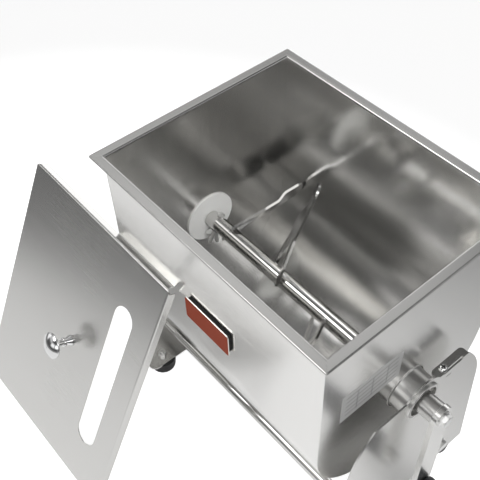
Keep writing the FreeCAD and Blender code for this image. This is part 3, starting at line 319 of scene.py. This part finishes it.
# %% Plastics
def moulded(name, color, roughness, scale, bump, variation=0.12, **constants):
    material, tree, shader = principled(name, color, **constants)
    point = add_node(tree, "ShaderNodeTexCoord").outputs["Object"]
    pebble = add_node(tree, "ShaderNodeTexNoise", {"Vector": point, "Scale": scale,
                                                   "Detail": 5.0}).outputs["Fac"]
    mark = use_group(tree, MARKS, {"Point": point, "Scale": 30.0})["Mark"]
    tree.links.new(shade(tree, pebble, scaled(color, 1 - variation), scaled(color, 1 + variation)),
                   shader.inputs["Base Color"])
    tree.links.new(remap(tree, mark, 0.0, 1.0, roughness, roughness + 0.15), shader.inputs["Roughness"])
    edge = use_group(tree, EDGES, {"Radius": 0.0004})
    height = add_node(tree, "ShaderNodeBump", {"Height": pebble, "Normal": edge["Normal"], "Distance": bump})
    tree.links.new(height.outputs[0], shader.inputs["Normal"])
    return material


NYLON = moulded("white nylon", (0.86, 0.86, 0.84, 1.0), 0.42, 900.0, 0.00001, variation=0.03)
RUBBER = moulded("foot rubber", (0.02, 0.02, 0.021, 1.0), 0.55, 1400.0, 0.00003)
HANDLE_PLASTIC = moulded("handle plastic", (0.025, 0.025, 0.028, 1.0), 0.38, 2200.0, 0.00002)
TAPE = moulded("foam tape", (0.015, 0.015, 0.015, 1.0), 0.8, 1500.0, 0.00008)

# %% [markdown]
# Name plate
#
# The plate on the front wall is painted copper-brown on its face, and its sheared edges are bare metal:
# they are the thin pale line along the top. Two materials would need the mesh to be split, so one
# material asks for the normal in the plate's own space, and paints only where it points forwards.

# %% Name plate material
PLATE_PAINT = (0.28, 0.045, 0.018, 1.0)
BARE_ALUMINIUM = (0.86, 0.84, 0.8, 1.0)
PAINTED_SIDE = -0.7      # the paint is where the normal points this far to the front


def name_plate():
    material, tree, shader = principled("painted name plate", PLATE_PAINT, Specular_IOR_Level=0.12)
    place = add_node(tree, "ShaderNodeTexCoord").outputs
    facing = add_node(tree, "ShaderNodeSeparateXYZ", {0: place["Normal"]}).outputs["Y"]
    painted = math_node(tree, "LESS_THAN", facing, PAINTED_SIDE)
    fleck = add_node(tree, "ShaderNodeTexNoise", {"Vector": place["Object"], "Scale": 900.0}).outputs["Fac"]
    paint = shade(tree, fleck, scaled(PLATE_PAINT, 0.85), scaled(PLATE_PAINT, 1.15))
    tree.links.new(shade(tree, painted, BARE_ALUMINIUM, paint), shader.inputs["Base Color"])
    tree.links.new(remap(tree, painted, 0.0, 1.0, 1.0, 0.0), shader.inputs["Metallic"])
    tree.links.new(remap(tree, painted, 0.0, 1.0, 0.3, 0.55), shader.inputs["Roughness"])
    height = add_node(tree, "ShaderNodeBump", {"Height": fleck, "Distance": 0.000005})
    tree.links.new(height.outputs[0], shader.inputs["Normal"])
    return material


NAME_PLATE = name_plate()

# %% [markdown]
# Rating label
#
# The label on the right end is metal foil with a ruled table, left empty here. Its rules come from
# counting: a coordinate that runs from 0 to 1 over the label is multiplied by the number of rows, and
# wherever its fraction is close to a whole number there is a line.

# %% Rating label material
FOIL = (0.46, 0.46, 0.455, 1.0)
RULE_INK = (0.2, 0.2, 0.2, 1.0)
LABEL_ROWS = 6.0
LABEL_COLUMNS = 4.0
ROW_RULE = 0.14
COLUMN_RULE = 0.05
LABEL_MARGIN = 0.07


def ruled(tree, coordinate, count, thickness):
    """1 on a line at every whole count of the coordinate, 0 between."""
    step = math_node(tree, "FRACT", math_node(tree, "MULTIPLY", coordinate, count), 0.0)
    return math_node(tree, "LESS_THAN", step, thickness)


def inside(tree, coordinate, margin):
    """1 where the coordinate is further than the margin from 0 and 1."""
    return math_node(tree, "MULTIPLY", math_node(tree, "GREATER_THAN", coordinate, margin),
                     math_node(tree, "LESS_THAN", coordinate, 1.0 - margin))


def rating_label():
    material, tree, shader = principled("ruled foil label", FOIL, Metallic=0.3)
    place = add_node(tree, "ShaderNodeTexCoord").outputs
    across = add_node(tree, "ShaderNodeSeparateXYZ", {0: place["Generated"]}).outputs
    rows = ruled(tree, across["Z"], LABEL_ROWS, ROW_RULE)
    columns = ruled(tree, across["Y"], LABEL_COLUMNS, COLUMN_RULE)
    lines = math_node(tree, "MAXIMUM", rows, columns)
    table = math_node(tree, "MULTIPLY", inside(tree, across["Z"], LABEL_MARGIN * 2),
                      inside(tree, across["Y"], LABEL_MARGIN))
    ink = math_node(tree, "MULTIPLY", lines, table)
    crinkle = add_node(tree, "ShaderNodeTexNoise", {"Vector": place["Object"], "Scale": 260.0,
                                                    "Detail": 3.0}).outputs["Fac"]
    foil = shade(tree, crinkle, scaled(FOIL, 0.93), scaled(FOIL, 1.07))
    tree.links.new(shade(tree, ink, foil, RULE_INK), shader.inputs["Base Color"])
    tree.links.new(remap(tree, ink, 0.0, 1.0, 0.36, 0.6), shader.inputs["Roughness"])
    height = add_node(tree, "ShaderNodeBump", {"Height": crinkle, "Distance": 0.00002})
    tree.links.new(height.outputs[0], shader.inputs["Normal"])
    return material


RATING_LABEL = rating_label()

# %% [markdown]
# Screw heads
#
# The two tab screws have a cross recess. It is 4 mm wide and seen from half a metre away, so it is drawn
# and not cut: two bars of shadow on top of the head, placed with coordinates that run from 0 to 1 over
# the screw.

# %% Screw head material
RECESS_WIDTH = 0.075
RECESS_LENGTH = 0.27
HEAD_START = 0.9
WORN_FASTENER = (0.7, 0.7, 0.69, 1.0)
RECESS_SHADOW = (0.012, 0.012, 0.012, 1.0)


def cross_head():
    material, tree, shader = principled("cross head screw", FASTENER_COLOR, Metallic=1.0)
    place = add_node(tree, "ShaderNodeTexCoord").outputs["Generated"]
    part = add_node(tree, "ShaderNodeSeparateXYZ", {0: place}).outputs
    aside = [math_node(tree, "ABSOLUTE", math_node(tree, "SUBTRACT", part[axis], 0.5)) for axis in "XY"]
    bars = []
    for narrow, long in (aside, reversed(aside)):
        bars.append(math_node(tree, "MULTIPLY", math_node(tree, "LESS_THAN", narrow, RECESS_WIDTH),
                              math_node(tree, "LESS_THAN", long, RECESS_LENGTH)))
    recess = math_node(tree, "MULTIPLY", math_node(tree, "MAXIMUM", *bars),
                       math_node(tree, "GREATER_THAN", part["Z"], HEAD_START))
    wear = use_group(tree, MARKS, {"Point": place, "Scale": 4.0})["Mark"]
    metal = shade(tree, wear, FASTENER_COLOR, WORN_FASTENER)
    tree.links.new(shade(tree, recess, metal, RECESS_SHADOW), shader.inputs["Base Color"])
    tree.links.new(remap(tree, recess, 0.0, 1.0, 0.16, 0.7), shader.inputs["Roughness"])
    tree.links.new(use_group(tree, EDGES, {"Radius": 0.0004})["Normal"], shader.inputs["Normal"])
    return material


CROSS_HEAD = cross_head()

# %% [markdown]
# Which finish goes where
#
# The parts that come from the frame keep their shape and only get a material, so a table of names is
# enough.

# %% Give each part its finish
FINISHES = {
    "tank_trough": TROUGH_STEEL,
    "end_plate_left": END_STEEL, "end_plate_right": END_STEEL,
    "rim_front": LONG_RIM_STEEL, "rim_rear": LONG_RIM_STEEL,
    "rim_left": SHORT_RIM_STEEL, "rim_right": SHORT_RIM_STEEL,
    "hub_left": HUB_STEEL, "hub_right": HUB_STEEL,
    "bearing_left": NYLON, "bearing_right": NYLON,
    "plunger_keeper": HUB_STEEL, "plunger_sleeve": HUB_STEEL, "plunger_pin": BAR_STEEL,
    "plunger_knob": HANDLE_PLASTIC,
    "name_plate": NAME_PLATE, "plate_tape": TAPE, "rating_label": RATING_LABEL,
    "stand_plate_left": STAND_STEEL, "stand_plate_right": STAND_STEEL,
    "tab_screw_left": CROSS_HEAD, "tab_screw_right": CROSS_HEAD,
    "tie_rod_front": BAR_STEEL, "tie_rod_rear": BAR_STEEL,
    "rod_bolts": FASTENER_STEEL, "foot_studs": FASTENER_STEEL,
    "foot_front_left": RUBBER, "foot_front_right": RUBBER, "foot_rear_left": RUBBER, "foot_rear_right": RUBBER,
    "shaft_tube": BAR_STEEL, "idler_stub": BAR_STEEL, "drive_stub": BAR_STEEL,
    "drive_pin": FASTENER_STEEL, "cross_bolt": FASTENER_STEEL, "wing_nut": FASTENER_STEEL,
    "blade_far_left": PADDLE_STEEL, "blade_mid_left": PADDLE_STEEL,
    "blade_mid_right": PADDLE_STEEL, "blade_far_right": PADDLE_STEEL,
    "crank_boss": HUB_STEEL, "crank_arm": PADDLE_STEEL, "crank_bolt": FASTENER_STEEL,
    "grip_bolt": FASTENER_STEEL, "grip": HANDLE_PLASTIC,
    "lid_panel": LID_STEEL, "lid_knob": CHROME, "knob_screw": FASTENER_STEEL,
}

for node, material in FINISHES.items():
    slots = NODES[node].data.materials
    slots.clear()
    slots.append(material)

missing = sorted(set(NODES) - set(FINISHES))
print("parts without a finish:", missing)

# %% [markdown]
# Weld beads
#
# The hubs are welded round on the tank ends, and each paddle leg has a short weld on the shaft. A weld is
# a row of overlapping puddles, so a bead is a thin tube whose thickness swells once for every puddle. A
# curve with a bevel can't swell that finely, so the rings of the tube are written straight into a bmesh.

# %% Weld bead
PUDDLE = 0.0011          # length of one puddle along the bead
PUDDLE_SWELL = 0.16
BEAD_SIDES = 8
STEPS_PER_PUDDLE = 4
END_BLUNTNESS = 0.02     # keeps the two ends of a short bead from closing to a point


def weld_bead(mesh, route, length, radius, closed):
    """Add one bead to a bmesh. route(share) gives the point and the two directions across the bead."""
    steps = max(8, round(length / PUDDLE) * STEPS_PER_PUDDLE)
    rings = []
    for step in range(steps if closed else steps + 1):
        share = step / steps
        middle, side, up = route(share)
        swell = 1 + PUDDLE_SWELL * math.cos(2 * math.pi * step / STEPS_PER_PUDDLE)
        taper = 1.0 if closed else math.sqrt(max(END_BLUNTNESS, 1 - (2 * share - 1) ** 2))
        ring = []
        for corner in range(BEAD_SIDES):
            turn = 2 * math.pi * corner / BEAD_SIDES
            reach = radius * swell * taper
            place = middle + side * (math.cos(turn) * reach) + up * (math.sin(turn) * reach)
            ring.append(mesh.verts.new(place))
        rings.append(ring)
    pairs = list(zip(rings, rings[1:])) + ([(rings[-1], rings[0])] if closed else [])
    for one, other in pairs:
        for corner in range(BEAD_SIDES):
            after = (corner + 1) % BEAD_SIDES
            mesh.faces.new((one[corner], one[after], other[after], other[corner]))
    if not closed:
        mesh.faces.new(list(reversed(rings[0])))
        mesh.faces.new(rings[-1])


def finish_mesh(name, mesh, material, body):
    """Turn a bmesh into a smooth-shaded piece that rides on a body of the frame."""
    bmesh.ops.recalc_face_normals(mesh, faces=mesh.faces)
    data = bpy.data.meshes.new(name)
    mesh.to_mesh(data)
    mesh.free()
    data.polygons.foreach_set("use_smooth", [True] * len(data.polygons))
    data.materials.append(material)
    piece = bpy.data.objects.new(name, data)
    bpy.context.collection.objects.link(piece)
    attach(piece, body)
    print(name, "faces:", len(data.polygons))
    return piece


WELD_STEEL = steel("weld bead steel", (700.0, 700.0, 700.0), 0.3, spread=0.06, color=(0.82, 0.81, 0.79, 1.0),
                   contrast=0.06, edge_radius=0.0002)

# %% [markdown]
# Round welds on the hubs
#
# The hub's box gives the shaft line, and the tank end's box gives the face that the bead lies on.

# %% Hub welds
HUB_BEAD_RADIUS = 0.0009
SHAFT_RADIUS = 0.01
HUB_LOW, HUB_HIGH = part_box("hub_right")
SHAFT_Y = (HUB_LOW[1] + HUB_HIGH[1]) / 2
SHAFT_Z = (HUB_LOW[2] + HUB_HIGH[2]) / 2
SEAM_RADIUS = (HUB_HIGH[1] - HUB_LOW[1]) / 2


def around_hub(x):
    def route(share):
        turn = 2 * math.pi * share
        out = Vector((0.0, math.cos(turn), math.sin(turn)))
        return Vector((x, SHAFT_Y, SHAFT_Z)) + out * SEAM_RADIUS, out, Vector((1.0, 0.0, 0.0))
    return route


for side, tank_face in (("left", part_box("end_plate_left")[0][0]), ("right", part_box("end_plate_right")[1][0])):
    bead_mesh = bmesh.new()
    weld_bead(bead_mesh, around_hub(tank_face), 2 * math.pi * SEAM_RADIUS, HUB_BEAD_RADIUS, closed=True)
    finish_mesh("hub_weld_" + side, bead_mesh, WELD_STEEL, "tank")

# %% [markdown]
# Short welds on the paddle legs
#
# The corners of a paddle that lie closest to the shaft are the feet of its legs. They come in pairs, one
# sheet thickness apart, and a bead runs from one to the other over the tube.

# %% Paddle welds
FOOT_REACH = 0.0135      # a corner of a leg's foot is no further than this from the shaft line
FOOT_BEAD_RADIUS = 0.0012
FOOT_BEAD_PAST = 0.0012
SAME_POINT = 0.0002


def foot_corners(node):
    """Pairs of corners of a paddle's feet, one pair for each leg."""
    corners = []
    for vertex in node.data.vertices:
        place = node.matrix_world @ vertex.co
        if math.hypot(place.y - SHAFT_Y, place.z - SHAFT_Z) > FOOT_REACH:
            continue
        if all((place - known).length > SAME_POINT for known in corners):
            corners.append(place)
    corners.sort(key=lambda place: place.x)
    return list(zip(corners[0::2], corners[1::2]))


def over_tube(start, end):
    """Route of a bead that follows the tube's surface from one corner to the other."""
    past = (end - start).normalized() * FOOT_BEAD_PAST

    def route(share):
        place = (start - past).lerp(end + past, share)
        out = Vector((0.0, place.y - SHAFT_Y, place.z - SHAFT_Z)).normalized()
        side = out.cross(end - start).normalized()
        return Vector((place.x, SHAFT_Y, SHAFT_Z)) + out * SHAFT_RADIUS, out, side
    return route


foot_mesh = bmesh.new()
for paddle in ("blade_far_left", "blade_mid_left", "blade_mid_right", "blade_far_right"):
    pairs = foot_corners(NODES[paddle])
    print(paddle, "legs:", len(pairs))
    for start, end in pairs:
        weld_bead(foot_mesh, over_tube(start, end), (end - start).length + 2 * FOOT_BEAD_PAST,
                  FOOT_BEAD_RADIUS, closed=False)
finish_mesh("paddle_welds", foot_mesh, WELD_STEEL, "agitator")

# %% [markdown]
# Studio floor
#
# The machine stands on a sheet of white paper. Polished metal shows whatever stands round it, so the
# paper matters even where the camera doesn't see it. Near the machine the paper is bright, and further away its
# colour and its glow for glossy rays fade: a painted fall-off of light that stands in for a darker room. To the
# camera it is white, and it keeps a soft shadow.

# %% Floor
FLOOR_HALF = 6.0
PAPER_CENTRE = (-0.14, -0.26, 0.0)
PAPER_NEAR = 0.55        # metres from the centre where the painted light on the paper starts to fade
PAPER_FAR = 0.95
# colour of the paper near the machine and far away: a painted fall-off of light
PAPER_WHITE = 0.8
PAPER_DIM = 0.25
CAMERA_GLOW = 0.75
MIRROR_GLOW = 0.1


def add_floor():
    mesh = bpy.data.meshes.new("floor")
    corners = [(-FLOOR_HALF, -FLOOR_HALF), (FLOOR_HALF, -FLOOR_HALF), (FLOOR_HALF, FLOOR_HALF),
               (-FLOOR_HALF, FLOOR_HALF)]
    mesh.from_pydata([(x, y, 0.0) for x, y in corners], [], [(0, 1, 2, 3)])
    floor = bpy.data.objects.new("floor", mesh)
    bpy.context.collection.objects.link(floor)
    return floor


def paper_material():
    material = bpy.data.materials.new("white paper")
    material.use_nodes = True
    tree = material.node_tree
    tree.nodes.clear()
    place = add_node(tree, "ShaderNodeNewGeometry").outputs["Position"]
    distance = add_node(tree, "ShaderNodeVectorMath", {0: place, 1: PAPER_CENTRE},
                        operation="DISTANCE").outputs["Value"]
    # painted pool of light on the paper: 1 near the machine, 0 far away
    painted_light_pool = remap(tree, distance, PAPER_NEAR, PAPER_FAR, 1.0, 0.0)
    seen = add_node(tree, "ShaderNodeLightPath").outputs
    mirrored = math_node(tree, "MULTIPLY", seen["Is Glossy Ray"],
                         remap(tree, painted_light_pool, 0.0, 1.0, 0.0, MIRROR_GLOW))
    shown = math_node(tree, "MULTIPLY", seen["Is Camera Ray"], CAMERA_GLOW)
    # the paper's colour follows the painted pool of light, white near the machine and dim further away
    white = shade(tree, painted_light_pool, scaled(WHITE, PAPER_DIM), scaled(WHITE, PAPER_WHITE))
    diffuse = add_node(tree, "ShaderNodeBsdfDiffuse", {"Color": white}).outputs[0]
    strength = math_node(tree, "ADD", mirrored, shown)
    glow = add_node(tree, "ShaderNodeEmission", {"Color": WHITE, "Strength": strength}).outputs[0]
    both = add_node(tree, "ShaderNodeAddShader", {0: diffuse, 1: glow}).outputs[0]
    output = add_node(tree, "ShaderNodeOutputMaterial")
    tree.links.new(both, output.inputs["Surface"])
    return material


floor = add_floor()
floor.data.materials.append(paper_material())

# %% [markdown]
# Soft boxes
#
# The photographer's soft boxes are bright rectangles with soft edges. They could be area lamps, but here
# they belong to the world: a group turns a direction into a bearing and a height, and fades a rectangle
# in at the right place. Each one is then a single row of numbers, and its reflection in the steel is clean.

# %% Soft box group


def make_soft_box():
    tree, inlet, outlet = new_group(
        "soft box",
        [("Direction", VECTOR, None), ("Bearing", FLOAT, 0.0), ("Height", FLOAT, 0.5),
         ("Half width", FLOAT, 0.3), ("Half height", FLOAT, 0.2), ("Softness", FLOAT, 0.1)],
        [("Light", FLOAT)])
    part = add_node(tree, "ShaderNodeSeparateXYZ", {0: inlet["Direction"]}).outputs
    bearing = math_node(tree, "ARCTAN2", part["Y"], part["X"])
    turned = math_node(tree, "SUBTRACT", bearing, inlet["Bearing"])
    aside = math_node(tree, "ARCCOSINE", math_node(tree, "COSINE", turned))
    above = math_node(tree, "ABSOLUTE", math_node(tree, "SUBTRACT", math_node(tree, "ARCSINE", part["Z"]),
                                                  inlet["Height"]))
    light = None
    for offset, half in ((aside, inlet["Half width"]), (above, inlet["Half height"])):
        outer = math_node(tree, "ADD", half, inlet["Softness"])
        inner = math_node(tree, "SUBTRACT", half, inlet["Softness"])
        fade = add_node(tree, "ShaderNodeMapRange", {"Value": offset, "From Min": inner, "From Max": outer,
                                                     "To Min": 1.0, "To Max": 0.0}).outputs["Result"]
        light = fade if light is None else math_node(tree, "MULTIPLY", light, fade)
    tree.links.new(light, outlet["Light"])
    return tree


SOFT_BOX = make_soft_box()

# %% [markdown]
# The room
#
# The key light stands high at the front left, a second one at the right, and low white panels behind
# fill the rim and the lid. Weaker panels stand in front, and between all of them it stays dark, which gives
# the steel its depth.

# %% World
ROOM_LIGHT = 0.1
# bearing from +X, height, half width and half height in degrees, then strength
SOFT_BOXES = {
    "key": (235.0, 53.0, 22.0, 9.0, 5.5),
    "key skirt": (225.0, 33.0, 25.0, 11.0, 0.5),
    "right": (3.0, 40.0, 16.0, 7.0, 3.1),
    "low rear right": (56.0, 20.0, 24.0, 9.0, 0.9),
    "low rear left": (125.0, 12.0, 28.0, 12.0, 1.6),
    "high rear left": (145.0, 50.0, 28.0, 12.0, 0.65),
    "low left": (198.0, 14.0, 20.0, 12.0, 1.0),
    "front right": (318.0, 50.0, 26.0, 9.0, 2.1),
    "front low": (297.0, 22.0, 14.0, 9.0, 2.0),
    "front low left": (265.0, 20.0, 12.0, 10.0, 1.0),
    "overhead": (0.0, 80.0, 180.0, 10.0, 0.3),
}
BOX_SOFTNESS = 5.0


def add_world():
    world = bpy.data.worlds.new("studio")
    world.use_nodes = True
    bpy.context.scene.world = world
    tree = world.node_tree
    tree.nodes.clear()
    direction = add_node(tree, "ShaderNodeTexCoord").outputs["Generated"]
    total = ROOM_LIGHT
    for name, (bearing, height, half_width, half_height, strength) in SOFT_BOXES.items():
        light = use_group(tree, SOFT_BOX, {
            "Direction": direction, "Bearing": math.radians(bearing), "Height": math.radians(height),
            "Half width": math.radians(half_width), "Half height": math.radians(half_height),
            "Softness": math.radians(BOX_SOFTNESS)})["Light"]
        total = math_node(tree, "ADD", math_node(tree, "MULTIPLY", light, strength), total)
    seen = add_node(tree, "ShaderNodeLightPath").outputs["Is Camera Ray"]
    room = add_node(tree, "ShaderNodeBackground", {"Color": WHITE, "Strength": total}).outputs[0]
    white = add_node(tree, "ShaderNodeBackground", {"Color": WHITE, "Strength": 1.0}).outputs[0]
    both = add_node(tree, "ShaderNodeMixShader", {0: seen, 1: room, 2: white}).outputs[0]
    output = add_node(tree, "ShaderNodeOutputWorld")
    tree.links.new(both, output.inputs["Surface"])


add_world()
print("soft boxes:", len(SOFT_BOXES))

# %% [markdown]
# Fill lamp
#
# Nylon, paint and paper need more light than the boxes give, but one more bright shape would show in every
# sheet of steel. Lamps can be hidden from glossy rays, so this one lights the matt pieces alone.

# %% Fill lamp
FILL_PLACE = Vector((0.95, -0.3, 1.5))
FILL_AIM = Vector((-0.1, 0.07, 0.25))
FILL_POWER = 15.0
FILL_WIDTH = 0.9


def add_fill_lamp():
    data = bpy.data.lights.new("fill lamp", "AREA")
    data.shape = "DISK"
    data.size = FILL_WIDTH
    data.energy = FILL_POWER
    lamp = bpy.data.objects.new("fill lamp", data)
    lamp.location = FILL_PLACE
    lamp.rotation_mode = "QUATERNION"
    lamp.rotation_quaternion = (FILL_AIM - FILL_PLACE).to_track_quat("-Z", "Y")
    lamp.visible_glossy = False
    bpy.context.collection.objects.link(lamp)
    return lamp


add_fill_lamp()

# %% [markdown]
# Picture settings
#
# The Standard view transform shows each colour as it is written.

# %% Picture settings
bpy.context.scene.view_settings.view_transform = "Standard"
